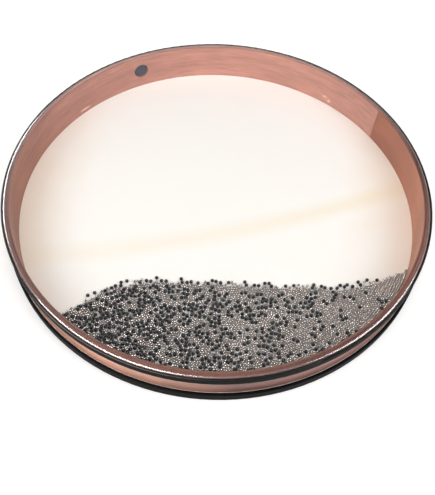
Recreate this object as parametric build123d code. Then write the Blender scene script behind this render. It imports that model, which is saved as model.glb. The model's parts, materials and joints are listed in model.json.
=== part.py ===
from build123d import *
import math
import os
import random

# Ocean drum. Millimetres, +Z up, origin on the drum's axis in the plane it rests on.
# The clear head is on top, and the beads lie on the skin head, gathered against the front wall (-Y).

# Hoop, laminated from bent strips of wood
hoop_outer_radius = 200.0
hoop_height = 38.75
hoop_edge_round = 1.5
veneer_thickness = 0.7
core_ply_thickness = 1.25
glue_line = 0.1

# Each strip's ends meet in a slanting joint, and the joints are spread round the hoop
end_joint_gap = 0.25
end_joint_lean = 14.0
inner_joint_angle = 32.3
joint_spread = 137.5

# Heads
film_thickness = 0.45
skin_thickness = 0.6

# Bands over the heads' turned edges
upper_band_thickness = 1.5
lower_band_thickness = 2.4
band_edge_round = 0.9
upper_band_height = 8.0
upper_band_drop = 0.8
lower_band_height = 10.5
lower_band_lift = 0.5
skirt_cover = 1.0
band_joint_gap = 0.3
band_joint_angle = 90.0

# Stopper of the hole that the beads go in by
plug_diameter = 16.0
plug_running_gap = 0.05
plug_angle = 118.5
plug_recess = 1.0
plug_end_round = 1.4
plug_flange_overhang = 0.8
plug_flange_thickness = 2.0
plug_flange_round = 0.8
plug_seat_gap = 0.1

# Beads
steel_bead_diameter = 2.4
black_bead_diameter = 3.4
bead_gap = 0.3
bead_spacing_gap = 0.1
steel_fill = 0.46
black_area_share = 0.27
black_cluster_share = 0.5
bead_seed = 7

# Upper edge of the bead pool, in shares of the hoop's inner radius
# It is level, rises at the right and falls at the left
pool_level = -0.492
pool_rise_start = 0.5
pool_rise = 0.19
pool_fall_start = -0.25
pool_fall = 0.59
pool_stations = 24

# Share of the free places that black beads take, from the left of the pool to its right
black_share_left = 1.0
black_share_right = 0.15
black_share_falloff = 1.5

# Beads that lie loose along the pool's upper edge, in three runs from left to right
# A run's start and end are in shares of the inner radius
crest_runs = {"left": (-0.60, -0.20), "middle": (-0.19, 0.31), "right": (0.32, 0.80)}
crest_black_share = 0.6
crest_steel_share = 0.3
crest_cluster_share = 0.4
crest_reach = 3.6
crest_tries = 900
crest_lane_gap = 0.6

# Derived heights
skin_top = skin_thickness
hoop_bottom = skin_top + glue_line
hoop_top = hoop_bottom + hoop_height
hoop_middle = (hoop_bottom + hoop_top) / 2
drum_top = hoop_top + glue_line + film_thickness
upper_band_top = drum_top - upper_band_drop
upper_band_bottom = upper_band_top - upper_band_height
lower_band_bottom = lower_band_lift
lower_band_top = lower_band_bottom + lower_band_height
plug_height = (lower_band_top + upper_band_bottom) / 2
plug_flange_diameter = plug_diameter + 2 * plug_flange_overhang

# Derived radii
ply_names = ["inner_veneer", "inner_core_ply", "middle_core_ply", "outer_core_ply", "outer_veneer"]
ply_thicknesses = [veneer_thickness] + [core_ply_thickness] * (len(ply_names) - 2) + [veneer_thickness]
hoop_wall = sum(ply_thicknesses) + glue_line * (len(ply_names) - 1)
hoop_inner_radius = hoop_outer_radius - hoop_wall
head_inner_radius = hoop_outer_radius + glue_line

# Derived bead sizes
steel_radius = steel_bead_diameter / 2
black_radius = black_bead_diameter / 2
black_pitch = black_bead_diameter + bead_spacing_gap
rim_row_radius = hoop_inner_radius - bead_gap - steel_radius
bed_radius = rim_row_radius - steel_radius - bead_gap
bed_bottom = skin_top + bead_gap
bed_thickness = steel_bead_diameter * steel_fill
black_in_pool_height = bed_bottom + bed_thickness + bead_spacing_gap + black_radius


def wall_section(inner, outer, bottom, top):
    """Upright rectangle in the XZ plane, between two radii and two heights."""
    centre = Pos((inner + outer) / 2, (bottom + top) / 2)
    return Plane.XZ * centre * Rectangle(outer - inner, top - bottom)


def rounded_outside(section, radius):
    """The section with its two outer corners rounded."""
    outer_corners = section.vertices().group_by(Axis.X)[-1]
    return fillet(outer_corners, radius)


def cut_across(radius, angle, gap, lean):
    """Thin slanting slab that parts a ring's wall at an angle round the drum."""
    slab = Box(2 * hoop_wall, gap, 2 * hoop_height)
    return Rot(0, 0, angle) * Pos(radius, 0, hoop_middle) * Rot(lean, 0, 0) * slab


def radial_bar(radius, start, end):
    """Round bar along the plug's axis, between two distances from the drum's axis."""
    bar = Rot(0, 90, 0) * Cylinder(radius, end - start)
    return Rot(0, 0, plug_angle) * Pos((start + end) / 2, 0, plug_height) * bar


def make_plies():
    """The hoop's strips from the inside out, each with its end joint and the plug's hole."""
    section = wall_section(hoop_inner_radius, hoop_outer_radius, hoop_bottom, hoop_top)
    section = rounded_outside(section, hoop_edge_round)
    hole_radius = plug_diameter / 2 + plug_running_gap
    hole = radial_bar(hole_radius, hoop_inner_radius - hoop_wall, hoop_outer_radius + hoop_wall)
    plies = {}
    inner = hoop_inner_radius
    for number, (name, thickness) in enumerate(zip(ply_names, ply_thicknesses)):
        outer = inner + thickness
        ply = revolve(section & wall_section(inner, outer, hoop_bottom, hoop_top), Axis.Z)
        lean = end_joint_lean * (-1) ** number
        ply -= cut_across((inner + outer) / 2, inner_joint_angle + joint_spread * number, end_joint_gap, lean)
        plies[name] = ply - hole
        inner = outer + glue_line
    return plies


def make_head(thickness, skirt_length):
    """Disc of sheet turned down over a rounded rim. Its underside is at height 0."""
    bend = hoop_edge_round + glue_line
    bend_start = head_inner_radius - bend
    outer = head_inner_radius + thickness
    outline = Line((0, 0), (0, thickness))
    outline += Line((0, thickness), (bend_start, thickness))
    outline += CenterArc((bend_start, -bend), bend + thickness, 90, -90)
    outline += Line((outer, -bend), (outer, -skirt_length))
    outline += Line((outer, -skirt_length), (head_inner_radius, -skirt_length))
    outline += Line((head_inner_radius, -skirt_length), (head_inner_radius, -bend))
    outline += CenterArc((bend_start, -bend), bend, 0, 90)
    outline += Line((bend_start, 0), (0, 0))
    return revolve(make_face(Plane.XZ * outline), Axis.Z)


def make_clear_head():
    """Clear film over the top rim, with its skirt ending under the upper band."""
    underside = hoop_top + glue_line
    skirt = underside - upper_band_bottom - skirt_cover
    return Pos(0, 0, underside) * make_head(film_thickness, skirt)


def make_skin_head():
    """Hide under the bottom rim, with its skirt ending under the lower band."""
    skirt = lower_band_top - skin_top - skirt_cover
    return Pos(0, 0, skin_top) * Rot(180, 0, 0) * make_head(skin_thickness, skirt)


def make_band(thickness, sheet_thickness, bottom, top):
    """Strip with rounded edges, wrapped over a head's skirt, its ends meeting at the rear."""
    inner = head_inner_radius + sheet_thickness + glue_line
    section = wall_section(inner, inner + thickness, bottom, top)
    ring = revolve(rounded_outside(section, band_edge_round), Axis.Z)
    return ring - cut_across(inner + thickness / 2, band_joint_angle, band_joint_gap, 0)


def make_plug():
    """Stopper with a rounded inner end and a flange hollowed to seat on the hoop."""
    flange_outer = hoop_outer_radius + plug_flange_thickness
    barrel = radial_bar(plug_diameter / 2, hoop_inner_radius + plug_recess, flange_outer - plug_flange_round)
    inner_end = barrel.edges().filter_by(GeomType.CIRCLE).sort_by_distance((0, 0, plug_height))[0]
    barrel = fillet(inner_end, plug_end_round)
    flange = radial_bar(plug_flange_diameter / 2, hoop_outer_radius - plug_flange_thickness, flange_outer)
    outer_rim = flange.edges().filter_by(GeomType.CIRCLE).sort_by_distance((0, 0, plug_height))[-1]
    flange = fillet(outer_rim, plug_flange_round)
    seat = Pos(0, 0, plug_height) * Cylinder(hoop_outer_radius + plug_seat_gap, 2 * plug_flange_diameter)
    return barrel + (flange - seat)


def pool_edge(x):
    """Where the pool's upper edge lies along Y at a place along X."""
    share = x / hoop_inner_radius
    rise = max(0, (share - pool_rise_start) / (1 - pool_rise_start)) ** 2
    fall = max(0, (pool_fall_start - share) / (1 + pool_fall_start)) ** 2
    return hoop_inner_radius * (pool_level + pool_rise * rise - pool_fall * fall)


def pool_slope(x):
    """Slope of the pool's upper edge at a place along X."""
    return (pool_edge(x + steel_radius) - pool_edge(x - steel_radius)) / steel_bead_diameter


def edge_margin(x, distance):
    """How far along Y a point has to be from the pool's edge to lie this distance from it."""
    return distance * math.hypot(1, pool_slope(x))


def make_pool_area():
    """Flat area that the bead pool covers, inside the row of beads along the wall."""
    step = 2 * hoop_inner_radius / pool_stations
    places = [-hoop_inner_radius + step * n for n in range(pool_stations + 1)]
    edge = [(x, pool_edge(x)) for x in places]
    below = -2 * hoop_inner_radius
    sides = Polyline(edge[-1], (edge[-1][0], below), (edge[0][0], below), edge[0])
    return make_face(Spline(edge) + sides) & Circle(bed_radius)


def make_steel_bed(area):
    """The packed steel beads, too many to part, as one sheet of their own volume over the pool's area."""
    return Pos(0, 0, bed_bottom) * extrude(area, bed_thickness)


def spread_black_beads(area):
    """Places of the black beads in the pool: partly in touching clusters, fewer towards the right."""
    dice = random.Random(bead_seed)
    reach = bed_radius - black_radius
    count = round(black_area_share * area.area / (math.pi * black_radius ** 2))
    spots = []
    while len(spots) < count:
        x = dice.uniform(-reach, reach)
        y = dice.uniform(-reach, 0)
        if spots and dice.random() < black_cluster_share:
            beside = dice.choice(spots)
            turn = dice.uniform(0, 2 * math.pi)
            x = beside[0] + black_pitch * math.cos(turn)
            y = beside[1] + black_pitch * math.sin(turn)
        wanted = black_share_left + (black_share_right - black_share_left) * (x + reach) / (2 * reach)
        in_pool = math.hypot(x, y) < reach and y < pool_edge(x) - edge_margin(x, black_radius)
        apart = all(math.dist((x, y), spot) >= black_pitch for spot in spots)
        if in_pool and apart and dice.random() < wanted ** black_share_falloff:
            spots.append((x, y))
    return spots


def rim_row_places():
    """Places of the steel beads that lie in a row against the wall, along the whole pool."""
    turn = (steel_bead_diameter + bead_spacing_gap) / rim_row_radius
    places = []
    for n in range(int(math.pi / turn)):
        angle = -math.pi + n * turn
        x = rim_row_radius * math.cos(angle)
        y = rim_row_radius * math.sin(angle)
        if y < pool_edge(x):
            places.append((x, y))
    return places


def strew_crest(dice, lane, radius, count, others):
    """Places of one kind of bead along the pool's edge: partly beside each other, and clear of the others."""
    spots = []
    for _ in range(crest_tries):
        x = dice.uniform(lane[0] + radius, lane[1] - radius)
        y = pool_edge(x) + edge_margin(x, radius + bead_gap) + crest_reach * dice.random() ** 3
        if spots and dice.random() < crest_cluster_share:
            beside = dice.choice(spots)
            turn = dice.uniform(0, math.pi)
            x = beside[0] + (2 * radius + bead_spacing_gap) * math.cos(turn)
            y = beside[1] + (2 * radius + bead_spacing_gap) * math.sin(turn)
        in_lane = lane[0] + radius <= x <= lane[1] - radius
        out = (y - pool_edge(x)) / edge_margin(x, 1) - radius - bead_gap
        near = [(spot, radius) for spot in spots] + others
        apart = all(math.dist((x, y), spot) >= radius + other + bead_spacing_gap for spot, other in near)
        if len(spots) < count and in_lane and 0 <= out <= crest_reach and apart:
            spots.append((x, y))
    return spots


def crest_places(run):
    """Places of the loose beads of one run, as (black, steel), strewn along the pool's edge."""
    dice = random.Random(run)
    start, end = [share * hoop_inner_radius for share in crest_runs[run]]
    lane = (start + crest_lane_gap, end - crest_lane_gap)
    length = lane[1] - lane[0]
    black_count = round(crest_black_share * length / black_bead_diameter)
    steel_count = round(crest_steel_share * length / steel_bead_diameter)
    black = strew_crest(dice, lane, black_radius, black_count, [])
    taken = [(spot, black_radius) for spot in black]
    steel = strew_crest(dice, lane, steel_radius, steel_count, taken)
    return black, steel


def make_beads(radius, places, height):
    """One ball at each place, all at one height."""
    ball = Sphere(radius).solid()
    return Compound(children=[ball.moved(Pos(x, y, height)) for x, y in places])


def make_bead_groups():
    """All the beads, grouped by what they move with."""
    steel_height = skin_top + bead_gap + steel_radius
    black_height = skin_top + bead_gap + black_radius
    area = make_pool_area()
    groups = {"steel_bead_bed": make_steel_bed(area)}
    groups["pool_black_beads"] = make_beads(black_radius, spread_black_beads(area), black_in_pool_height)
    groups["rim_steel_beads"] = make_beads(steel_radius, rim_row_places(), steel_height)
    for run in crest_runs:
        black, steel = crest_places(run)
        groups[f"crest_black_beads_{run}"] = make_beads(black_radius, black, black_height)
        groups[f"crest_steel_beads_{run}"] = make_beads(steel_radius, steel, steel_height)
    return groups


drum = make_plies()
drum["clear_head"] = make_clear_head()
drum["skin_head"] = make_skin_head()
drum["upper_band"] = make_band(upper_band_thickness, film_thickness, upper_band_bottom, upper_band_top)
drum["lower_band"] = make_band(lower_band_thickness, skin_thickness, lower_band_bottom, lower_band_top)
drum["fill_plug"] = make_plug()
drum.update(make_bead_groups())

os.makedirs("parts", exist_ok=True)
for name, shape in drum.items():
    export_step(shape, f"parts/{name}.step")
    print(name, len(shape.solids()), "solids", round(shape.volume, 1), "mm3")
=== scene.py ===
"""Looks of an ocean drum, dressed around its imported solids.

Every size is in metres, in the drum's own frame: +Z up through the clear head, -Y towards the front,
where the beads lie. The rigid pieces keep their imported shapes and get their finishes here. The two heads
and all the beads are modelled here.
"""

import json
import logging
import math
from dataclasses import dataclass, field, replace
from enum import Enum

import bmesh
import bpy
import numpy as np
from bmesh.types import BMesh
from bpy.types import Collection, Material, Mesh, Node, NodeSocket, NodeTree, Object
from mathutils import Matrix, Quaternion, Vector, kdtree, noise

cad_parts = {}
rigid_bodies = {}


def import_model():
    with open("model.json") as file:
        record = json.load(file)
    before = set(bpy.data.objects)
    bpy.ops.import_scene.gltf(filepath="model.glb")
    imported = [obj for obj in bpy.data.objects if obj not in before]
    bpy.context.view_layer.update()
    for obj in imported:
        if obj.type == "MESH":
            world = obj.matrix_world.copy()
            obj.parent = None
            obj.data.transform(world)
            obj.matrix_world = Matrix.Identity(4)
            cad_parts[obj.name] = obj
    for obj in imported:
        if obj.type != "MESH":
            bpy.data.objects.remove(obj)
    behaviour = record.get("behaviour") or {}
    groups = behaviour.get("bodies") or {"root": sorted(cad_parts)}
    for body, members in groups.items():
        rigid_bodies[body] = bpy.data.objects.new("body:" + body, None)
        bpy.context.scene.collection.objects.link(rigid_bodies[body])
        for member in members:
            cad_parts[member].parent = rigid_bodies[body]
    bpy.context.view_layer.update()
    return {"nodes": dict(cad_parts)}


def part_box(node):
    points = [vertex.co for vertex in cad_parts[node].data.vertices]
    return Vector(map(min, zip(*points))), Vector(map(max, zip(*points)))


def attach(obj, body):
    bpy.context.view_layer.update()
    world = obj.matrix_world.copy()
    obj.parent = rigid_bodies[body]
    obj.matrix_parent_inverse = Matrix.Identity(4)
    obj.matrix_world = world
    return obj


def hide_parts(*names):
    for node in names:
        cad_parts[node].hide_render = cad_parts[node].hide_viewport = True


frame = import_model()

LOG = logging.getLogger("ocean_drum")
MM = 0.001
MERGE_REACH = 0.01 * MM
LEAST_DISTANCE = 1e-9
WHITE = "#ffffff"


class Slot(Enum):
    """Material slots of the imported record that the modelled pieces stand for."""

    FILM = "clear_film"
    HIDE = "hide"
    STEEL = "bead_steel"
    BLACK = "bead_black"


class Body(Enum):
    """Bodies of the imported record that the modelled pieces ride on."""

    HOOP = "hoop"
    RIM = "rim_beads"
    POOL = "bead_pool"
    LEFT = "crest_left"
    MIDDLE = "crest_middle"
    RIGHT = "crest_right"


class Reach(Enum):
    """The pieces that a soft box lights."""

    ALL = "all"
    SHELL = "shell"
    BEADS = "beads"


class Part(Enum):
    """Parts of a head that are made as pieces of their own."""

    FLAT = "flat"
    EDGE = "edge"


def linear(code: str) -> tuple[float, float, float, float]:
    """Turn an sRGB hex colour into linear values.

    Args:
        code: Six hex digits after a hash sign.

    Returns:
        Red, green, blue and an alpha of 1.
    """
    shares = [int(code[n:n + 2], 16) / 255 for n in (1, 3, 5)]
    values = [c / 12.92 if c <= 0.04045 else ((c + 0.055) / 1.055) ** 2.4 for c in shares]
    return values[0], values[1], values[2], 1.0


def add(tree: NodeTree, kind: str, inputs: dict | None = None, stops: dict | None = None,
        **settings: bool | str) -> Node:
    """Add a node with its settings, values, links and colour stops.

    Args:
        tree: The node tree that gets the node.
        kind: Blender's name for the kind of node, without the ShaderNode in front.
        inputs: Values, hex colours, sockets or nodes, by the input's name or number. A node stands for its
            first output.
        stops: Hex colours of a colour ramp, by their place from 0 to 1.
        settings: The node's own properties.

    Returns:
        The new node.
    """
    node = tree.nodes.new(f"ShaderNode{kind}")
    for name, value in settings.items():
        setattr(node, name, value)
    for name, value in (inputs or {}).items():
        socket = node.inputs[name]
        if isinstance(value, Node):
            value = value.outputs[0]
        if isinstance(value, NodeSocket):
            tree.links.new(value, socket)
        else:
            socket.default_value = linear(value) if isinstance(value, str) else value
    if stops:
        elements = node.color_ramp.elements
        for place in sorted(stops)[1:-1]:
            elements.new(place)
        for element, (place, code) in zip(elements, sorted(stops.items())):
            element.position = place
            element.color = linear(code)
    return node


def new_material(name: str) -> tuple[Material, NodeTree]:
    """Start a material that has no nodes.

    Args:
        name: The material's name.

    Returns:
        The material and its node tree.
    """
    material = bpy.data.materials.new(name)
    material.use_nodes = True
    tree = material.node_tree
    tree.nodes.clear()
    return material, tree


def strip_coordinates(tree: NodeTree, joint_degrees: float, radius: float) -> NodeSocket:
    """Lay coordinates along a bent strip, so that its grain runs round the drum and breaks at its end joint.

    Args:
        tree: The node tree that gets the nodes.
        joint_degrees: Where the strip's ends meet, as an angle round the drum.
        radius: The strip's radius.

    Returns:
        A vector in millimetres: along the strip, up it and out from the drum's axis.
    """
    place = add(tree, "TexCoord").outputs["Object"]
    turn = -math.radians(joint_degrees + 180)
    turned = add(tree, "VectorRotate", {"Vector": place, "Angle": turn}, rotation_type="Z_AXIS")
    parts = add(tree, "SeparateXYZ", {"Vector": turned})
    angle = add(tree, "Math", {0: parts.outputs["Y"], 1: parts.outputs["X"]}, operation="ARCTAN2")
    along = add(tree, "Math", {0: angle, 1: radius / MM}, operation="MULTIPLY")
    up = add(tree, "Math", {0: parts.outputs["Z"], 1: 1 / MM}, operation="MULTIPLY")
    out = add(tree, "VectorMath", {0: place, 1: (1 / MM, 1 / MM, 0)}, operation="MULTIPLY")
    reach = add(tree, "VectorMath", {0: out}, operation="LENGTH")
    joined = add(tree, "CombineXYZ", {"X": along, "Y": up, "Z": reach.outputs["Value"]})
    return joined.outputs["Vector"]


@dataclass(frozen=True)
class Scuff:
    """A short pale smear on a strip, along its grain.

    Attributes:
        degrees: Where its middle lies round the drum.
        height_mm: How high its middle lies.
        length_mm: Its length.
        width_mm: Its width.
    """

    degrees: float
    height_mm: float
    length_mm: float
    width_mm: float


@dataclass(frozen=True, kw_only=True)
class Finish:
    """What the solid finishes share: a roughness and a relief that follow a fine pattern.

    Attributes:
        name: The material's name.
        roughness: The middle roughness.
        roughness_spread: How far the pattern changes it.
        relief_mm: Depth of the pattern.
        relief_strength: How much of that depth shows.
        ior: IOR, which sets how much light is mirrored.
    """

    name: str
    roughness: float
    roughness_spread: float
    relief_mm: float
    relief_strength: float
    ior: float = 1.5

    def surface(self, tree: NodeTree, colour: NodeSocket, pattern: NodeSocket,
                inputs: dict | None = None) -> Node:
        """Finish a material with its shader and its output.

        Args:
            tree: The node tree that gets the nodes.
            colour: The colour.
            pattern: The fine pattern.
            inputs: Further inputs of the shader.

        Returns:
            The shader.
        """
        rough = add(tree, "MapRange",
                    {"Value": pattern, "To Min": self.roughness - self.roughness_spread,
                     "To Max": self.roughness + self.roughness_spread})
        shader = add(tree, "BsdfPrincipled",
                     {"Base Color": colour, "Roughness": rough, "IOR": self.ior, **(inputs or {})})
        if self.relief_mm:
            relief = add(tree, "Bump", {"Strength": self.relief_strength, "Distance": self.relief_mm * MM,
                                        "Height": pattern})
            tree.links.new(relief.outputs["Normal"], shader.inputs["Normal"])
        add(tree, "OutputMaterial", {"Surface": shader})
        return shader


@dataclass(frozen=True, kw_only=True)
class VeneerFinish(Finish):
    """Sliced veneer of a red-brown hardwood like sapele, sanded and lacquered.

    Attributes:
        joint_degrees: Where the strip's ends meet.
        tones_and_painted_light: The wood's colour along the strip, by the share of its length from the joint
            on, with painted light and shade laid into it.
        contrast: How far the grain departs from the wood's colour.
        specular: Level of the wood's own mirrored light.
        coat: Weight of the lacquer's own gloss.
        coat_roughness: Roughness of the lacquer.
        ribbon_mm: Length and width of the ribbon figure.
        fibre_mm: Length and width of the fibres, drawn wider than they are, so that they show.
        pore_mm: Length and width of the pores, drawn wider than they are, so that they show.
        cloud_mm: Length and width of the broad changes of tone.
        noise_detail: Detail of each layer of the grain.
        noise_roughness: Roughness of that detail.
        fibre_share: Share of the fibres in the grain, with the ribbon figure as the rest.
        cloud_share: Share of the broad changes of tone.
        pore_range: Noise between which a pore starts and is full.
        pore_depth: How far a full pore darkens the grain.
        grain_range: Grain values that give the darkest and the palest wood.
        edge_facing: How far a face looks up or down where the cut edge's tone starts and is full.
        cut_edge_shade: Brightness of the cut edges: partly the end grain, which soaks up more lacquer than
            the faces, and partly painted shade of the dark line along the rim's inner edge.
        scuffs: Pale smears on the face.
        scuff_colour: Their colour.
        scuff_core: Share of a smear, from its middle on, that is fully pale.
    """

    joint_degrees: float
    tones_and_painted_light: dict[float, str]
    contrast: float
    specular: float
    coat: float = 0.0
    coat_roughness: float = 0.2
    ribbon_mm: tuple[float, float] = (110.0, 6.0)
    fibre_mm: tuple[float, float] = (20.0, 1.1)
    pore_mm: tuple[float, float] = (8.0, 0.9)
    cloud_mm: tuple[float, float] = (45.0, 22.0)
    noise_detail: float = 3.0
    noise_roughness: float = 0.55
    fibre_share: float = 0.65
    cloud_share: float = 0.3
    pore_range: tuple[float, float] = (0.56, 0.72)
    pore_depth: float = 0.08
    grain_range: tuple[float, float] = (0.3, 0.7)
    edge_facing: tuple[float, float] = (0.4, 0.8)
    cut_edge_shade: float = 1.0
    scuffs: tuple[Scuff, ...] = ()
    scuff_colour: str = "#ecbca4"
    scuff_core: float = 0.4
    roughness_spread: float = 0.08
    relief_mm: float = 0.1
    relief_strength: float = 0.35

    def make(self, radius: float) -> Material:
        """Make the material for a strip of this radius.

        Args:
            radius: The strip's radius.

        Returns:
            The material.
        """
        material, tree = new_material(self.name)
        strip = strip_coordinates(tree, self.joint_degrees, radius)
        grain, fibre = self.grain(tree, strip)
        along = add(tree, "SeparateXYZ", {"Vector": strip})
        half = math.pi * radius / MM
        share = add(tree, "MapRange", {"Value": along.outputs["X"], "From Min": -half, "From Max": half})
        # The colour along the strip carries painted light and shade as well as the wood's own tone.
        wood = add(tree, "ValToRGB", {"Fac": share}, stops=self.tones_and_painted_light)
        level = add(tree, "MapRange",
                    {"Value": grain, "From Min": self.grain_range[0], "From Max": self.grain_range[1],
                     "To Min": 1 - self.contrast, "To Max": 1 + self.contrast}, clamp=False)
        # Cut edges that face up or down are darkened: partly the end grain's own tone, partly painted shade.
        normal = add(tree, "NewGeometry").outputs["Normal"]
        facing = add(tree, "SeparateXYZ", {"Vector": normal})
        upright = add(tree, "Math", {0: facing.outputs["Z"]}, operation="ABSOLUTE")
        edge = add(tree, "MapRange",
                   {"Value": upright, "From Min": self.edge_facing[0], "From Max": self.edge_facing[1],
                    "To Min": 1.0, "To Max": self.cut_edge_shade})
        shade = add(tree, "Math", {0: level, 1: edge}, operation="MULTIPLY")
        colour = add(tree, "VectorMath", {0: wood, "Scale": shade}, operation="SCALE").outputs["Vector"]
        for scuff in self.scuffs:
            colour = self.smear(tree, strip, radius, scuff, colour)
        self.surface(tree, colour, fibre,
                     {"Specular IOR Level": self.specular, "Coat Weight": self.coat,
                      "Coat Roughness": self.coat_roughness})
        return material

    def grain(self, tree: NodeTree, strip: NodeSocket) -> tuple[NodeSocket, NodeSocket]:
        """Draw the wood's grain along the strip.

        Args:
            tree: The node tree that gets the nodes.
            strip: Coordinates along the strip.

        Returns:
            The whole grain, and the fibres alone.
        """
        layers = {}
        for layer, (length, width) in (("ribbon", self.ribbon_mm), ("fibre", self.fibre_mm),
                                       ("pore", self.pore_mm), ("cloud", self.cloud_mm)):
            scale = (1 / length, 1 / width, 1 / width)
            place = add(tree, "Mapping", {"Vector": strip, "Scale": scale})
            drawn = add(tree, "TexNoise", {"Vector": place, "Scale": 1.0, "Detail": self.noise_detail,
                                           "Roughness": self.noise_roughness})
            layers[layer] = drawn.outputs[0]
        streaks = add(tree, "Mix", {0: self.fibre_share, 2: layers["ribbon"], 3: layers["fibre"]})
        mottle = add(tree, "Mix", {0: self.cloud_share, 2: streaks, 3: layers["cloud"]})
        pores = add(tree, "MapRange",
                    {"Value": layers["pore"], "From Min": self.pore_range[0], "From Max": self.pore_range[1],
                     "To Min": 0.0, "To Max": -self.pore_depth})
        depth = add(tree, "Math", {0: mottle, 1: pores}, operation="ADD")
        return depth.outputs[0], layers["fibre"]

    def smear(self, tree: NodeTree, strip: NodeSocket, radius: float, scuff: Scuff,
              wood: NodeSocket) -> NodeSocket:
        """Lay a pale smear over the wood.

        Args:
            tree: The node tree that gets the nodes.
            strip: Coordinates along the strip.
            radius: The strip's radius.
            scuff: The smear.
            wood: The wood's colour.

        Returns:
            The colour with the smear.
        """
        turn = (scuff.degrees - self.joint_degrees) % 360 - 180
        middle = (math.radians(turn) * radius / MM, scuff.height_mm)
        scale = (2 / scuff.length_mm, 2 / scuff.width_mm, 0.0)
        shift = (-middle[0] * scale[0], -middle[1] * scale[1], 0.0)
        place = add(tree, "Mapping", {"Vector": strip, "Location": shift, "Scale": scale})
        away = add(tree, "VectorMath", {0: place}, operation="LENGTH")
        share = add(tree, "MapRange",
                    {"Value": away.outputs["Value"], "From Min": 1.0, "From Max": self.scuff_core},
                    interpolation_type="SMOOTHSTEP")
        mixed = add(tree, "Mix", {0: share, 6: wood, 7: self.scuff_colour}, data_type="RGBA")
        return mixed.outputs[2]


@dataclass(frozen=True)
class FilmFinish:
    """Clear polyester film: it passes light almost whole and mirrors more of it at a low angle.

    Attributes:
        name: The material's name.
        roughness: Roughness of the gloss.
        flat_ior: IOR of the flat part, lower than plain film's, so that it mirrors as little as the real one.
        bend_ior: IOR of the bend over the rim.
        bend_start: Radius where the bend's shine starts.
        bend_end: Radius where it is full.
    """

    name: str = "clear_polyester_film"
    roughness: float = 0.16
    flat_ior: float = 1.15
    bend_ior: float = 1.55
    bend_start: float = 197.5 * MM
    bend_end: float = 199.0 * MM

    def make(self) -> Material:
        """Make the material.

        Returns:
            The material.
        """
        # To the eye: nearly unseen from above, with a soft shine where it turns over the hoop's edge.
        material, tree = new_material(self.name)
        place = add(tree, "TexCoord").outputs["Object"]
        level = add(tree, "VectorMath", {0: place, 1: (1.0, 1.0, 0.0)}, operation="MULTIPLY")
        radius = add(tree, "VectorMath", {0: level}, operation="LENGTH")
        front = add(tree, "MapRange",
                    {"Value": radius.outputs["Value"], "From Min": self.bend_start, "From Max": self.bend_end,
                     "To Min": self.flat_ior, "To Max": self.bend_ior})
        behind = add(tree, "Math", {0: 1.0, 1: front}, operation="DIVIDE")
        back = add(tree, "NewGeometry").outputs["Backfacing"]
        ior = add(tree, "Mix", {0: back, 2: front, 3: behind})
        share = add(tree, "Fresnel", {"IOR": ior})
        clear = add(tree, "BsdfTransparent", {"Color": WHITE})
        gloss = add(tree, "BsdfAnisotropic", {"Color": WHITE, "Roughness": self.roughness})
        film = add(tree, "MixShader", {0: share, 1: clear, 2: gloss})
        add(tree, "OutputMaterial", {"Surface": film})
        return material


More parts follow.
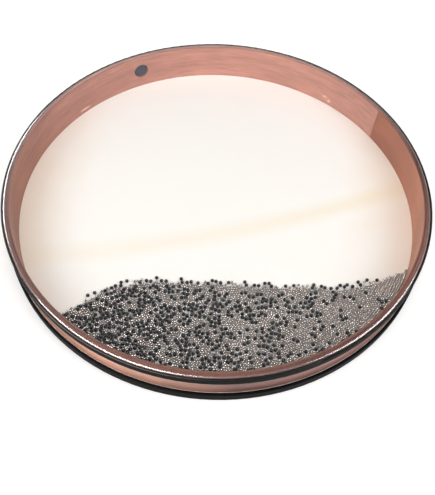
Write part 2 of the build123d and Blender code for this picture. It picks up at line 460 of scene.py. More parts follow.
@dataclass(frozen=True, kw_only=True)
class HideFinish(Finish):
    """Scraped and stretched goatskin with a yellow streak along the spine, and painted shade, warm and
    darker, at its sides.

    Attributes:
        pale: Colour of the middle.
        shaded_side: Colour of the sides: painted shade from the hoop's walls, warmed by the light they throw
            back.
        streak: Colour of the streak.
        radius: The hide's radius, in whose shares the spine and the sides are given.
        spine: The streak's height at the middle, its slope and its bend.
        spine_width: Half width of the streak.
        streak_share: Strength of the streak at the left and at the right.
        shaded_side_range: Where the painted shade starts and where it is full, out from the middle to either
            side.
        blotch_mm: Size of the blotches that the painted shade's edge follows.
        blotch_detail: Detail of the blotches.
        blotch_reach: How far they shift that edge.
        grain_mm: Size of the hide's grain, drawn coarser than it is, so that it shows.
        grain_detail: Detail of the grain.
    """

    name: str = "scraped_goatskin"
    pale: str = "#f7f4ee"
    shaded_side: str = "#f5e9d9"
    streak: str = "#f1e3c4"
    radius: float = 200 * MM
    spine: tuple[float, float, float] = (-0.185, 0.28, 0.09)
    spine_width: float = 0.09
    streak_share: tuple[float, float] = (0.25, 0.55)
    shaded_side_range: tuple[float, float] = (0.75, 1.15)
    blotch_mm: float = 45.0
    blotch_detail: float = 4.0
    blotch_reach: float = 0.3
    grain_mm: float = 1.6
    grain_detail: float = 2.0
    roughness: float = 0.62
    roughness_spread: float = 0.1
    relief_mm: float = 0.1
    relief_strength: float = 0.3
    ior: float = 1.45

    def make(self) -> Material:
        """Make the material.

        Returns:
            The material.
        """
        # To the eye: a pale, dry and matt skin with a faint grain; its sides are warmer and darker by painted
        # shade.
        material, tree = new_material(self.name)
        place = add(tree, "TexCoord").outputs["Object"]
        shares = add(tree, "VectorMath", {0: place, 1: (1 / self.radius,) * 3}, operation="MULTIPLY")
        parts = add(tree, "SeparateXYZ", {"Vector": shares})
        blotches = add(tree, "TexNoise", {"Vector": place, "Scale": 1 / (self.blotch_mm * MM),
                                          "Detail": self.blotch_detail})
        grain = add(tree, "TexNoise", {"Vector": place, "Scale": 1 / (self.grain_mm * MM),
                                       "Detail": self.grain_detail})
        side = add(tree, "Math", {0: parts.outputs["X"]}, operation="ABSOLUTE")
        wander = add(tree, "Math", {0: blotches, 1: self.blotch_reach, 2: side}, operation="MULTIPLY_ADD")
        edge = add(tree, "MapRange",
                   {"Value": wander, "From Min": self.shaded_side_range[0], "From Max": self.shaded_side_range[1]},
                   interpolation_type="SMOOTHSTEP")
        # The sides get painted shade, as if the hoop's walls shaded them and lit them warm.
        ground = add(tree, "Mix", {0: edge, 6: self.pale, 7: self.shaded_side}, data_type="RGBA")
        tint = self.spine_tint(tree, parts)
        colour = add(tree, "Mix", {0: tint, 6: ground.outputs[2], 7: self.streak}, data_type="RGBA")
        self.surface(tree, colour.outputs[2], grain.outputs[0])
        return material

    def spine_tint(self, tree: NodeTree, parts: Node) -> NodeSocket:
        """Draw the streak along the spine, a low curve across the hide.

        Args:
            tree: The node tree that gets the nodes.
            parts: Places in shares of the hide's radius, split into X, Y and Z.

        Returns:
            The strength of the streak's colour.
        """
        height, slope, bend = self.spine
        curve = add(tree, "Math", {0: parts.outputs["X"], 1: bend, 2: slope}, operation="MULTIPLY_ADD")
        line = add(tree, "Math", {0: parts.outputs["X"], 1: curve, 2: height}, operation="MULTIPLY_ADD")
        off = add(tree, "Math", {0: parts.outputs["Y"], 1: line}, operation="SUBTRACT")
        apart = add(tree, "Math", {0: off}, operation="ABSOLUTE")
        streak = add(tree, "MapRange", {"Value": apart, "From Min": self.spine_width, "From Max": 0.0},
                     interpolation_type="SMOOTHSTEP")
        weight = add(tree, "MapRange",
                     {"Value": parts.outputs["X"], "From Min": -1.0, "From Max": 1.0,
                      "To Min": self.streak_share[0], "To Max": self.streak_share[1]})
        tint = add(tree, "Math", {0: streak, 1: weight}, operation="MULTIPLY")
        return tint.outputs[0]


@dataclass(frozen=True, kw_only=True)
class SpeckledFinish(Finish):
    """A plain moulded or polished material whose tone and gloss vary a little over its surface.

    Attributes:
        colour: The main colour.
        second: The colour that it varies towards.
        speckle_mm: Size of the variation.
        speckle_detail: Its detail.
        metallic: 1 for a metal and 0 for the rest.
        edge_gloss: Weight of the gloss on edges that face up, where hands have rubbed them smooth.
        edge_facing: How far a face looks up where that gloss starts and is full.
        edge_roughness: Roughness of that gloss.
    """

    colour: str
    second: str
    speckle_mm: float
    speckle_detail: float = 3.0
    metallic: float = 0.0
    edge_gloss: float = 0.0
    edge_facing: tuple[float, float] = (0.3, 0.7)
    edge_roughness: float = 0.2
    roughness_spread: float = 0.06
    relief_mm: float = 0.0
    relief_strength: float = 0.4

    def make(self) -> Material:
        """Make the material.

        Returns:
            The material.
        """
        material, tree = new_material(self.name)
        place = add(tree, "TexCoord").outputs["Object"]
        speckle = add(tree, "TexNoise", {"Vector": place, "Scale": 1 / (self.speckle_mm * MM),
                                         "Detail": self.speckle_detail})
        colour = add(tree, "Mix", {0: speckle, 6: self.colour, 7: self.second}, data_type="RGBA")
        shader = self.surface(tree, colour.outputs[2], speckle.outputs[0], {"Metallic": self.metallic})
        if self.edge_gloss:
            normal = add(tree, "NewGeometry").outputs["Normal"]
            facing = add(tree, "SeparateXYZ", {"Vector": normal})
            rubbed = add(tree, "MapRange",
                         {"Value": facing.outputs["Z"], "From Min": self.edge_facing[0],
                          "From Max": self.edge_facing[1], "To Max": self.edge_gloss})
            tree.links.new(rubbed.outputs[0], shader.inputs["Coat Weight"])
            shader.inputs["Coat Roughness"].default_value = self.edge_roughness
        return material


@dataclass(frozen=True)
class RingSize:
    """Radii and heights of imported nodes.

    Attributes:
        inner: Least distance from the drum's axis.
        outer: Greatest distance from it.
        bottom: Lowest height.
        top: Greatest height.
    """

    inner: float
    outer: float
    bottom: float
    top: float


def vertex_places(node: str) -> np.ndarray:
    """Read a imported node's vertices.

    Args:
        node: The node's name.

    Returns:
        One row of x, y and z for each vertex.
    """
    mesh = frame["nodes"][node].data
    places = np.zeros(len(mesh.vertices) * 3)
    mesh.vertices.foreach_get("co", places)
    return places.reshape(-1, 3)


def ring_size(*nodes: str) -> RingSize:
    """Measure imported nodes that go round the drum's axis.

    Args:
        nodes: The nodes' names.

    Returns:
        Their radii and heights together.
    """
    places = np.concatenate([vertex_places(node) for node in nodes])
    radii = np.hypot(places[:, 0], places[:, 1])
    return RingSize(radii.min(), radii.max(), places[:, 2].min(), places[:, 2].max())


def dress_node(node: str, material: Material) -> None:
    """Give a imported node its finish.

    Args:
        node: The node's name.
        material: The finish.
    """
    for place in frame["nodes"][node].material_slots:
        place.material = material
    LOG.info("dressed %s in %s", node, material.name)


def add_piece(name: str, bm: BMesh, material: Material, body: Body,
              nodes: tuple[str, ...]) -> Object:
    """Turn a bmesh into a smooth piece of the drum.

    Args:
        name: The piece's name.
        bm: The shape, which is freed.
        material: The finish.
        body: The body that the piece rides on.
        nodes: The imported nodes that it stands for.

    Returns:
        The new object.
    """
    for face in bm.faces:
        face.smooth = True
    mesh = bpy.data.meshes.new(name)
    bm.to_mesh(mesh)
    bm.free()
    mesh.materials.append(material)
    piece = bpy.data.objects.new(name, mesh)
    bpy.context.scene.collection.objects.link(piece)
    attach(piece, body.value)
    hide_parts(*nodes)
    LOG.info("made %s with %d faces on %s", name, len(mesh.polygons), body.value)
    return piece


@dataclass
class Hoop:
    """The laminated hoop: five strips glued one inside the other.

    Attributes:
        inner_joint_degrees: Where the innermost strip's ends meet, round the drum.
        joint_spread_degrees: Turn from one strip's end joint to the next one's.
        scuffs: Pale smears on the innermost strip.
    """

    inner_joint_degrees: float = 32.3
    joint_spread_degrees: float = 137.5
    scuffs: tuple[Scuff, ...] = (
        Scuff(53.2, 9.6, 9.0, 3.4),
        Scuff(51.4, 6.8, 6.0, 6.0),
        Scuff(141.0, 5.6, 19.0, 3.4),
    )

    def joint(self, number: int) -> float:
        """Angle of a strip's end joint, counted from the inside."""
        return self.inner_joint_degrees + self.joint_spread_degrees * number

    def inner_face(self) -> VeneerFinish:
        """Choose the innermost strip's wood.

        Returns:
            Sanded veneer under thin lacquer.
        """
        # To the eye: a satin brown with fine streaks round the drum, and a dark cut edge that is partly end
        # grain and partly painted shade. Its tones hold painted light and shade: paler at the back of the
        # hoop, darker on its left side.
        return VeneerFinish(
            name="sapele_inner_veneer", joint_degrees=self.joint(0),
            tones_and_painted_light={0.0: "#be8777", 0.16: "#c98e7e", 0.3: "#b07b6e", 0.42: "#936251", 0.75: "#8e5c48",
                   0.9: "#b4755b", 1.0: "#9c5b41"},
            contrast=0.36, roughness=0.55, specular=0.4, cut_edge_shade=0.5, scuffs=self.scuffs)

    def core(self, place: str, number: int, tones_and_painted_light: dict[float, str]) -> VeneerFinish:
        """Choose the wood of a strip that only shows as a cut edge.

        Args:
            place: Where it lies in the hoop.
            number: Its number, counted from the inside.
            tones_and_painted_light: Its colours from the joint on, with painted light and shade in them.

        Returns:
            Sawn and barely lacquered veneer.
        """
        # To the eye: a matt line that goes pale and dark along the edge, partly as the grain is cut and
        # partly as painted light and shade: paler at the back of the rim, darker at the front and right.
        return VeneerFinish(name=f"sapele_{place}_core", joint_degrees=self.joint(number), tones_and_painted_light=tones_and_painted_light,
                            contrast=0.5, roughness=0.6, specular=0.2)

    def outer_face(self) -> VeneerFinish:
        """Choose the outermost strip's wood.

        Returns:
            Veneer under a full coat of lacquer.
        """
        # To the eye: a clear gloss over streaked brown. Its tones hold a painted highlight in the pale band
        # at the front left and a painted dark reflection just past it, in the middle of the front.
        return VeneerFinish(
            name="sapele_outer_veneer", joint_degrees=self.joint(4),
            tones_and_painted_light={0.0: "#c08468", 0.07: "#f2b096", 0.15: "#7a4d43", 0.25: "#9c6a5e", 1.0: "#a8705e"},
            contrast=0.5, roughness=0.4, specular=0.4, coat=0.15, coat_roughness=0.12)

    def finishes(self) -> dict[str, VeneerFinish]:
        """Choose the wood of each strip, from the inside out.

        Returns:
            The finishes, by the names of their nodes.
        """
        return {
            "inner_veneer": self.inner_face(),
            "inner_core_ply": self.core("inner", 1, {
                0.0: "#8a5a50", 0.1: "#4a241a", 0.28: "#7c4a3a", 0.55: "#4a2014", 0.66: "#bc8c7c",
                0.9: "#bc8e82", 1.0: "#8a5a50"}),
            "middle_core_ply": self.core("middle", 2, {
                0.0: "#43201a", 0.08: "#845044", 0.18: "#43201a", 0.3: "#bc9084", 0.52: "#bc9086",
                0.64: "#5a322c", 0.85: "#7e4c3e", 1.0: "#43201a"}),
            "outer_core_ply": self.core("outer", 3, {
                0.0: "#a47a6e", 0.13: "#9a7066", 0.23: "#5a342c", 0.55: "#5c3226", 0.88: "#50281f",
                1.0: "#a47a6e"}),
            "outer_veneer": self.outer_face(),
        }

    def dress(self) -> None:
        """Give every strip its wood."""
        for node, finish in self.finishes().items():
            dress_node(node, finish.make(ring_size(node).outer))


@dataclass
class Trim:
    """The two black bands over the heads' edges, and the stopper in the hoop's wall.

    Attributes:
        lower: Finish of the lower band.
        upper: Finish of the upper band.
        stopper: Finish of the stopper.
    """

    # Extruded vinyl, to the eye: deep black and almost without gloss, which the low IOR gives.
    lower: SpeckledFinish = SpeckledFinish(
        name="black_vinyl_strip", colour="#040303", second="#090808", roughness=0.5, speckle_mm=2.5,
        relief_mm=0.05, ior=1.1)
    # The same vinyl rubbed by hands, to the eye: a dull shine along its top edge.
    upper: SpeckledFinish = replace(lower, name="rubbed_black_vinyl_strip", edge_gloss=0.35)
    # Moulded rubber, to the eye: a soft, dull and bluish dark grey.
    stopper: SpeckledFinish = SpeckledFinish(
        name="black_moulded_rubber", colour="#3a3e4b", second="#4a4e5e", roughness=0.55, speckle_mm=1.2,
        relief_mm=0.04, ior=1.4)

    def dress(self) -> None:
        """Give the bands and the stopper their finishes."""
        dress_node("upper_band", self.upper.make())
        dress_node("lower_band", self.lower.make())
        dress_node("fill_plug", self.stopper.make())


@dataclass
class Head:
    """A sheet stretched over one end of the hoop, with its edge turned back along the hoop's outside.

    Attributes:
        nodes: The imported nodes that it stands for.
        thickness: The sheet's thickness.
        rim_round: Radius of the hoop's rounded edge under the sheet, with the glue.
        outwards: 1 for the head on top and -1 for the one below.
        relief: Greatest height of the sheet's unevenness.
        relief_size: Size of the uneven patches.
        relief_fade: Power of their fade towards the hoop, later and steeper where it is higher.
        steps: Steps of the spin round the drum.
        rings: Rings of the flat part.
        bend_segments: Segments of the bend.
        part: The part to make, or None for the whole head.
        part_radius: Radius where the flat part ends and the turned edge begins.
    """

    nodes: tuple[str, ...]
    thickness: float
    rim_round: float
    outwards: int
    relief: float = 0.0
    relief_size: float = 60 * MM
    relief_fade: int = 4
    steps: int = 192
    rings: int = 36
    bend_segments: int = 6
    part: Part | None = None
    part_radius: float = 194 * MM

    def outline(self, bm: BMesh) -> None:
        """Draw the sheet's half section, from the axis out to the skirt and back.

        Args:
            bm: The bmesh that gets the section.
        """
        size = ring_size(*self.nodes)
        face, hem = (size.top, size.bottom) if self.outwards > 0 else (size.bottom, size.top)
        back = face - self.outwards * self.thickness
        inner = size.outer - self.thickness
        points = [(0, face), (size.outer, face), (size.outer, hem), (inner, hem), (inner, back), (0, back)]
        corners = [bm.verts.new((x, 0, z)) for x, z in points]
        for pair in zip(corners, corners[1:]):
            bm.edges.new(pair)
        for corner, radius in ((corners[1], self.rim_round + self.thickness), (corners[4], self.rim_round)):
            bmesh.ops.bevel(bm, geom=[corner], offset=radius, offset_type="OFFSET",
                            segments=self.bend_segments, profile=0.5, affect="VERTICES", material=-1)
        flats = [edge for edge in bm.edges if min(v.co.x for v in edge.verts) == 0]
        bmesh.ops.subdivide_edges(bm, edges=flats, cuts=self.rings)

    def build(self, name: str, material: Material, slot: Slot) -> Object:
        """Spin the section round the drum.

        Args:
            name: The piece's name.
            material: The finish.
            slot: The record's slot; not used.

        Returns:
            The head.
        """
        bm = bmesh.new()
        self.outline(bm)
        bmesh.ops.spin(bm, geom=bm.verts[:] + bm.edges[:], cent=(0, 0, 0), axis=(0, 0, 1), dvec=(0, 0, 0),
                       angle=2 * math.pi, steps=self.steps, use_merge=True, use_duplicate=False)
        bmesh.ops.remove_doubles(bm, verts=bm.verts[:], dist=MERGE_REACH)
        bmesh.ops.recalc_face_normals(bm, faces=bm.faces[:])
        if self.relief:
            self.roughen(bm)
        if self.part:
            self.keep_part(bm)
        return add_piece(name, bm, material, Body.HOOP, self.nodes)

    def keep_part(self, bm: BMesh) -> None:
        """Keep either the flat part or the turned edge, so that lamps can be set for each.

        Args:
            bm: The whole head's shape.
        """
        lost = []
        for face in bm.faces:
            place = face.calc_center_median()
            turned = math.hypot(place.x, place.y) > self.part_radius
            if turned != (self.part is Part.EDGE):
                lost.append(face)
        bmesh.ops.delete(bm, geom=lost, context="FACES")
        rims = [edge for edge in bm.edges if edge.is_boundary]
        for edge in rims:
            edge.smooth = False
        bmesh.ops.bridge_loops(bm, edges=rims)
        bmesh.ops.recalc_face_normals(bm, faces=bm.faces[:])

    def roughen(self, bm: BMesh) -> None:
        """Lift the flat part into low uneven patches that fade out towards the hoop.

        Args:
            bm: The head's shape.
        """
        reach = ring_size("inner_veneer").inner
        for vert in bm.verts:
            share = math.hypot(vert.co.x, vert.co.y) / reach
            if share < 1:
                lift = 0.5 + 0.5 * noise.noise(vert.co / self.relief_size)
                vert.co.z += self.relief * lift * (1 - share ** self.relief_fade)


@dataclass
class Heads:
    """The clear head above, in two pieces, and the hide head below.

    Attributes:
        film_thickness: Thickness of the film.
        hide_thickness: Thickness of the hide.
        rim_round: Radius of the hoop's rounded edges under both, with the glue.
        hide_relief: Greatest height of the hide's unevenness.
    """

    film_thickness: float = 0.45 * MM
    hide_thickness: float = 0.6 * MM
    rim_round: float = 1.6 * MM
    hide_relief: float = 0.15 * MM

    def build(self) -> Object:
        """Make both heads.

        Returns:
            The flat part of the film.
        """
        clear = FilmFinish().make()
        film = {}
        for part in Part:
            head = Head(("clear_head",), self.film_thickness, self.rim_round, 1, part=part)
            film[part] = head.build(f"film_{part.value}", clear, Slot.FILM)
        hide = Head(("skin_head",), self.hide_thickness, self.rim_round, -1, self.hide_relief)
        hide.build("hide_head", HideFinish().make(), Slot.HIDE)
        return film[Part.FLAT]


def ball_centres(node: str, apart: float = MM) -> np.ndarray:
    """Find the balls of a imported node, each by its highest point.

    Args:
        node: The node's name.
        apart: Distance within which high points belong to one ball.

    Returns:
        One row of x and y for each ball.
    """
    places = vertex_places(node)
    tops = places[places[:, 2] > places[:, 2].max() - MERGE_REACH][:, :2]
    centres = []
    while len(tops):
        centres.append(tops[0])
        tops = tops[np.hypot(*(tops - tops[0]).T) > apart]
    return np.array(sorted(map(tuple, centres)))


@dataclass
class BeadPool:
    """All the loose beads: the pool against the front wall, the row along the wall and the runs on its edge.

    Attributes:
        seed: Start of the random draws.
        spacing: Space from one steel bead to the next, in bead diameters.
        crowding: Share of two beads' reach below which a steel bead has no room beside a fixed one.
        settling_rounds: Rounds in which crowded beads push each other apart.
        settling_step: Share of each push that a round takes.
        edge_reach: How far bead centres may pass the pool's upper edge.
        wall_margin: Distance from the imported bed's curved side within which its points belong to that side.
        facets: Facets along each edge of the cube that a ball is rounded from.
        parts: Pieces that the pool's steel beads are split into, from left to right.
        steel_finish: Finish of the steel beads.
        black_finish: Finish of the black beads.
        steel: Material of the steel beads.
        black: Material of the black beads.
        steel_radius: Radius of the steel beads.
        black_radius: Radius of the black beads.
        bed_radius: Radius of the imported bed's curved side.
        floor: Height of the hide under the beads.
    """

    seed: int = 11
    spacing: float = 1.01
    crowding: float = 0.66
    settling_rounds: int = 60
    settling_step: float = 0.7
    edge_reach: float = 0.5 * MM
    wall_margin: float = 0.3 * MM
    facets: int = 3
    parts: int = 3
    # Polished steel, to the eye: a grey ball with one hard bright point, mirroring the pale room.
    steel_finish: SpeckledFinish = SpeckledFinish(
        name="polished_steel_ball", colour="#b8b2ae", second="#a49d99", roughness=0.1, metallic=1.0,
        speckle_mm=6.0)
    # Black glass, to the eye: a near black ball with one soft highlight.
    black_finish: SpeckledFinish = SpeckledFinish(
        name="black_glass_bead", colour="#0c0c0f", second="#19191d", roughness=0.3, speckle_mm=6.0, ior=1.4)
    steel: Material = field(init=False)
    black: Material = field(init=False)
    steel_radius: float = field(init=False)
    black_radius: float = field(init=False)
    bed_radius: float = field(init=False)
    floor: float = field(init=False)

    def __post_init__(self) -> None:
        """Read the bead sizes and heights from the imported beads."""
        low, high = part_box("crest_steel_beads_left")
        self.steel_radius = (high.z - low.z) / 2
        self.floor = low.z
        low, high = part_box("crest_black_beads_left")
        self.black_radius = (high.z - low.z) / 2
        self.bed_radius = ring_size("steel_bead_bed").outer
        self.steel = self.steel_finish.make()
        self.black = self.black_finish.make()

    def pool_edge(self) -> tuple[np.ndarray, np.ndarray]:
        """Read the pool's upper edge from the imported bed.

        Returns:
            Places along X, and the edge's place along Y at each.
        """
        places = vertex_places("steel_bead_bed")
        radii = np.hypot(places[:, 0], places[:, 1])
        edge = places[radii < self.bed_radius - self.wall_margin][:, :2]
        edge = edge[np.argsort(edge[:, 0])]
        return edge[:, 0], edge[:, 1]

    def rows(self) -> np.ndarray:
        """Lay steel beads in rows along the wall, as they settle there, over the whole pool.

        Returns:
            One row of x and y for each bead.
        """
        dice = np.random.default_rng(self.seed)
        pitch = 2 * self.steel_radius * self.spacing
        reach = self.bed_radius - self.steel_radius
        edge_x, edge_y = self.pool_edge()
        places = []
        for number in range(int(reach / pitch)):
            radius = reach - number * pitch * math.sqrt(3) / 2
            count = int(math.pi * radius / pitch)
            start = dice.uniform(0, math.pi / count)
            angles = -start - np.arange(count) * pitch / radius
            places.append(np.stack([radius * np.cos(angles), radius * np.sin(angles)], 1))
        grid = np.concatenate(places)
        limit = np.interp(grid[:, 0], edge_x, edge_y, left=edge_y.min(), right=edge_y.max())
        return grid[grid[:, 1] < limit + self.edge_reach]

    def settle(self, loose: np.ndarray, fixed: np.ndarray, reaches: np.ndarray) -> np.ndarray:
        """Push crowded steel beads apart, and leave out those that find no room.

        Args:
            loose: Places of the steel beads.
            fixed: Places of the beads that stay where they are.
            reaches: How near a steel bead's centre may come to each fixed one.

        Returns:
            The places of the steel beads that are left.
        """
        near = 2 * self.steel_radius
        limit = self.bed_radius - self.steel_radius
        blocked = self.gaps(loose, fixed, reaches) < self.crowding - 1
        loose = loose[~blocked]
        for _ in range(self.settling_rounds):
            places = np.concatenate([loose, fixed])
            need = np.concatenate([np.full(len(loose), near), reaches])
            pairs = self.close_pairs(loose, places, need.max())
            apart = places[pairs[:, 1]] - loose[pairs[:, 0]]
            distance = np.maximum(np.hypot(*apart.T), LEAST_DISTANCE)
            want = need[pairs[:, 1]]
            push = np.maximum(want - distance, 0) / distance
            # Two steel beads share a push, and beside a fixed bead the steel one takes it all.
            share = np.where(pairs[:, 1] < len(loose), 0.5, 1.0)
            moves = np.zeros_like(loose)
            np.add.at(moves, pairs[:, 0], -apart * (push * share)[:, None])
            loose = loose + self.settling_step * moves
            radii = np.hypot(*loose.T)
            loose = loose * np.minimum(1, limit / radii)[:, None]
        return loose

    def gaps(self, loose: np.ndarray, fixed: np.ndarray, reaches: np.ndarray) -> np.ndarray:
        """How much nearer each steel bead is to a fixed one than it may be, as a share of that reach.

        Args:
            loose: Places of the steel beads.
            fixed: Places of the fixed beads.
            reaches: The least distance to each fixed bead.

        Returns:
            One share for each steel bead, below 0 where it is too near.
        """
        least = np.full(len(loose), 1.0)
        for place, reach in zip(fixed, reaches):
            least = np.minimum(least, np.hypot(*(loose - place).T) / reach - 1)
        return least

    def close_pairs(self, loose: np.ndarray, places: np.ndarray, reach: float) -> np.ndarray:
        """Pairs of a steel bead and any bead near it.

        Args:
            loose: Places of the steel beads, which come first in places.
            places: Places of all the beads.
            reach: The distance within which two beads are a pair.

        Returns:
            One row of two numbers for each pair.
        """
        tree = kdtree.KDTree(len(places))
        for number, (x, y) in enumerate(places):
            tree.insert((x, y, 0), number)
        tree.balance()
        pairs = []
        for number, (x, y) in enumerate(loose):
            for _, other, _ in tree.find_range((x, y, 0), reach):
                if other != number:
                    pairs.append((number, other))
        return np.array(pairs)

    def ball(self, radius: float) -> Mesh:
        """Round a cube, its sides cut into facets, into a ball.

        Args:
            radius: The ball's radius.

        Returns:
            Its mesh, about the origin.
        """
        bm = bmesh.new()
        bmesh.ops.create_cube(bm, size=2)
        bmesh.ops.subdivide_edges(bm, edges=bm.edges[:], cuts=self.facets - 1, use_grid_fill=True)
        for vert in bm.verts:
            evened = Vector(math.tan(share * math.pi / 4) for share in vert.co)
            vert.co = evened.normalized() * radius
        mesh = bpy.data.meshes.new("ball")
        bm.to_mesh(mesh)
        bm.free()
        return mesh

    def scatter(self, name: str, places: np.ndarray, slot: Slot, body: Body, node: str) -> Object:
        """Make one ball at each place.

        Args:
            name: The piece's name.
            places: Where the balls lie.
            slot: Steel or black.
            body: The body that they ride on.
            node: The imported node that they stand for.

        Returns:
            The piece.
        """
        radius, material = self.black_radius, self.black
        if slot is Slot.STEEL:
            radius, material = self.steel_radius, self.steel
        ball = self.ball(radius)
        bm = bmesh.new()
        for _ in places:
            bm.from_mesh(ball)
        for number, vert in enumerate(bm.verts):
            x, y = places[number // len(ball.vertices)]
            vert.co += Vector((x, y, self.floor + radius))
        bpy.data.meshes.remove(ball)
        return add_piece(name, bm, material, body, (node,))

    def build(self) -> list[Object]:
        """Make every bead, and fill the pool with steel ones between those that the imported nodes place.

        Returns:
            The pieces.
        """
        black, steel = [], [ball_centres("rim_steel_beads")]
        pieces = [self.scatter("rim_steel_row", steel[0], Slot.STEEL, Body.RIM, "rim_steel_beads")]
        for run, body in (("left", Body.LEFT), ("middle", Body.MIDDLE), ("right", Body.RIGHT)):
            black.append(ball_centres(f"crest_black_beads_{run}"))
            steel.append(ball_centres(f"crest_steel_beads_{run}"))
            for kind, places, slot in (("black", black, Slot.BLACK), ("steel", steel, Slot.STEEL)):
                pieces.append(self.scatter(f"crest_{kind}_{run}", places[-1], slot, body,
                                           f"crest_{kind}_beads_{run}"))
        black.append(ball_centres("pool_black_beads"))
        pieces.append(self.scatter("pool_black", black[-1], Slot.BLACK, Body.POOL, "pool_black_beads"))
        fixed = np.concatenate(black + steel)
        reaches = np.full(len(fixed), self.contact(self.steel_radius))
        reaches[:sum(map(len, black))] = self.contact(self.black_radius)
        loose = self.settle(self.rows(), fixed, reaches)
        loose = loose[np.argsort(loose[:, 0])]
        for number, part in enumerate(np.array_split(loose, self.parts)):
            pieces.append(self.scatter(f"pool_steel_{number + 1}", part, Slot.STEEL, Body.POOL,
                                       "steel_bead_bed"))
        return pieces

    def contact(self, radius: float) -> float:
        """Distance across the floor between a steel bead and one of this radius when they touch."""
        rise = radius - self.steel_radius
        return math.sqrt((radius + self.steel_radius) ** 2 - rise ** 2)


@dataclass(frozen=True)
class SoftBox:
    """A soft box that faces the drum.

    Attributes:
        name: The lamp's name.
        place: Where it hangs.
        size: Its width and height.
        power: Its power in watts.
        matt: Whether it lights matt surfaces.
        gloss: Whether it shows in gloss.
        reach: The pieces that it lights.
    """

    name: str
    place: tuple[float, float, float]
    size: tuple[float, float]
    power: float
    matt: bool = True
    gloss: bool = True
    reach: Reach = Reach.ALL


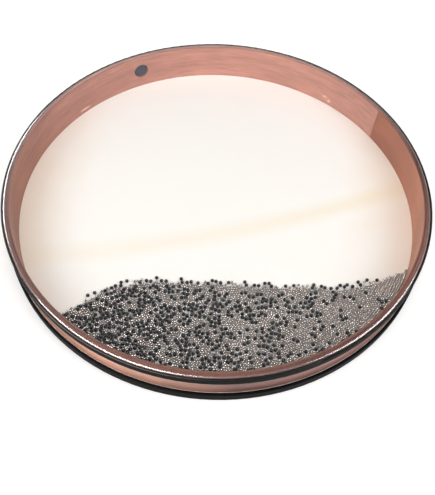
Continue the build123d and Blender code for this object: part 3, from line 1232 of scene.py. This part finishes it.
@dataclass
class Studio:
    """Floor, light and camera.

    Attributes:
        floor_colour: Colour of the floor's paint.
        floor_roughness: Its roughness.
        floor_size: Length of the floor's sides.
        floor_drop: How far it lies below the drum.
        floor_lift: Light added to the floor as it is seen, round the drum.
        far_floor_lift: The same, far from the drum.
        floor_fade: Distances between which the one goes over into the other.
        ambient: Strength of the room's even light.
        lamps: The soft boxes.
        camera_place: Where the camera is.
        camera_aim: The point that it looks at.
        camera_roll: Its roll in degrees.
        camera_clip: Distance from which on it sees.
        lens: Its focal length in millimetres.
        groups: The pieces that the lamps with a reach of their own light.
    """

    floor_colour: str = "#f4f3f1"
    floor_roughness: float = 0.8
    floor_size: float = 8.0
    floor_drop: float = 0.2 * MM
    floor_lift: float = 0.3
    far_floor_lift: float = 0.68
    floor_fade: tuple[float, float] = (0.4, 1.4)
    ambient: float = 0.37
    lamps: tuple[SoftBox, ...] = (
        SoftBox("soft_box_top", (0.1, -0.25, 1.2), (1.1, 0.9), 5.4, gloss=False),
        SoftBox("soft_box_left", (-0.78, -0.45, 0.85), (0.7, 0.7), 4.2, gloss=False),
        SoftBox("soft_box_right", (0.82, -0.42, 0.85), (0.7, 0.7), 4.7, gloss=False),
        SoftBox("strip_box_left", (-0.605, -0.565, 0.80), (1.2, 0.85), 46.0, matt=False, reach=Reach.SHELL),
        SoftBox("strip_box_right", (0.917, -0.229, 0.739), (0.75, 0.8), 22.0, matt=False, reach=Reach.SHELL),
        SoftBox("strip_box_rear", (-0.91, 0.55, 0.42), (0.75, 0.72), 20.0, matt=False, reach=Reach.SHELL),
        SoftBox("spot_box_beads", (0.05, -0.35, 1.15), (0.32, 0.32), 12.5, matt=False, reach=Reach.BEADS),
    )
    camera_place: tuple[float, float, float] = (0.0, -0.3790, 0.4818)
    camera_aim: tuple[float, float, float] = (0.0022, -0.0518, 0.0)
    camera_roll: float = 2.93
    camera_clip: float = 10 * MM
    lens: float = 44.214
    groups: dict[Reach, Collection] = field(init=False, default_factory=dict)

    def build(self, beads: list[Object], window: Object) -> None:
        """Set up the whole studio.

        Args:
            beads: The pieces that the bead lamp lights, and the strip lamps don't.
            window: The flat film, which neither lights.
        """
        self.group_pieces(beads, window)
        self.lay_floor()
        self.light_room()
        for box in self.lamps:
            self.hang_lamp(box)
        self.place_camera()

    def group_pieces(self, beads: list[Object], window: Object) -> None:
        """Sort the drum's pieces into those that the flagged lamps light.

        Args:
            beads: The pieces that hold beads.
            window: The flat film, which is in neither group.
        """
        for reach in (Reach.SHELL, Reach.BEADS):
            self.groups[reach] = bpy.data.collections.new(f"lit_{reach.value}")
        for piece in bpy.context.scene.objects:
            if piece.type == "MESH" and piece is not window:
                reach = Reach.BEADS if piece in beads else Reach.SHELL
                self.groups[reach].objects.link(piece)

    def shown_rays(self, tree: NodeTree) -> NodeSocket:
        """Tell the rays that show the surroundings from those that only light the drum.

        Args:
            tree: The node tree that gets the nodes.

        Returns:
            1 for what the camera sees, straight or in gloss or through the film, and 0 for the rest.
        """
        path = add(tree, "LightPath")
        seen = add(tree, "Math", {0: path.outputs["Is Camera Ray"], 1: path.outputs["Is Glossy Ray"]},
                   operation="MAXIMUM")
        shown = add(tree, "Math", {0: seen, 1: path.outputs["Is Transmission Ray"]}, operation="MAXIMUM")
        return shown.outputs[0]

    def lay_floor(self) -> None:
        """Lay the plain pale floor, which looks white and still takes the drum's shadow."""
        # Matt paint, to the eye: plain white with the drum's soft shadow.
        material, tree = new_material("pale_floor_paint")
        paint = add(tree, "BsdfPrincipled",
                    {"Base Color": self.floor_colour, "Roughness": self.floor_roughness})
        place = add(tree, "TexCoord").outputs["Object"]
        away = add(tree, "VectorMath", {0: place}, operation="LENGTH")
        level = add(tree, "MapRange",
                    {"Value": away.outputs["Value"],
                     "From Min": self.floor_fade[0], "From Max": self.floor_fade[1],
                     "To Min": self.floor_lift, "To Max": self.far_floor_lift})
        lift = add(tree, "Math", {0: self.shown_rays(tree), 1: level}, operation="MULTIPLY")
        glow = add(tree, "Emission", {"Color": WHITE, "Strength": lift})
        shader = add(tree, "AddShader", {0: paint, 1: glow})
        add(tree, "OutputMaterial", {"Surface": shader})
        bm = bmesh.new()
        bmesh.ops.create_grid(bm, x_segments=1, y_segments=1, size=self.floor_size / 2,
                              matrix=Matrix.Translation((0, 0, -self.floor_drop)))
        mesh = bpy.data.meshes.new("floor")
        bm.to_mesh(mesh)
        bm.free()
        mesh.materials.append(material)
        floor = bpy.data.objects.new("floor", mesh)
        bpy.context.scene.collection.objects.link(floor)

    def light_room(self) -> None:
        """Light the room evenly, and show it as white."""
        world = bpy.data.worlds.new("white_room")
        bpy.context.scene.world = world
        world.use_nodes = True
        tree = world.node_tree
        tree.nodes.clear()
        shown = self.shown_rays(tree)
        strength = add(tree, "MapRange", {"Value": shown, "To Min": self.ambient, "To Max": 1.0})
        room = add(tree, "Background", {"Color": WHITE, "Strength": strength})
        add(tree, "OutputWorld", {"Surface": room})

    def hang_lamp(self, box: SoftBox) -> None:
        """Hang a soft box and turn it to the drum.

        Args:
            box: The soft box.
        """
        lamp = bpy.data.lights.new(box.name, "AREA")
        lamp.shape = "RECTANGLE"
        lamp.size, lamp.size_y = box.size
        lamp.energy = box.power
        holder = bpy.data.objects.new(box.name, lamp)
        holder.location = box.place
        holder.visible_diffuse = box.matt
        holder.visible_glossy = box.gloss
        if box.reach is not Reach.ALL:
            holder.light_linking.receiver_collection = self.groups[box.reach]
        holder.rotation_euler = (-holder.location).to_track_quat("-Z", "Y").to_euler()
        bpy.context.scene.collection.objects.link(holder)

    def place_camera(self) -> None:
        """Put the camera where the picture was taken."""
        camera = bpy.data.cameras.new("camera")
        camera.lens = self.lens
        camera.clip_start = self.camera_clip
        holder = bpy.data.objects.new("camera", camera)
        holder.location = self.camera_place
        line = Vector(self.camera_aim) - Vector(self.camera_place)
        turn = line.to_track_quat("-Z", "Y") @ Quaternion((0, 0, 1), math.radians(self.camera_roll))
        holder.rotation_euler = turn.to_euler()
        bpy.context.scene.collection.objects.link(holder)
        bpy.context.scene.camera = holder


def main() -> None:
    """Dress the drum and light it."""
    logging.basicConfig(level=logging.INFO, format="%(message)s")
    bpy.context.scene.view_settings.view_transform = "Standard"
    Hoop().dress()
    Trim().dress()
    window = Heads().build()
    beads = BeadPool().build()
    Studio().build(beads, window)


if __name__ == "__main__":
    main()
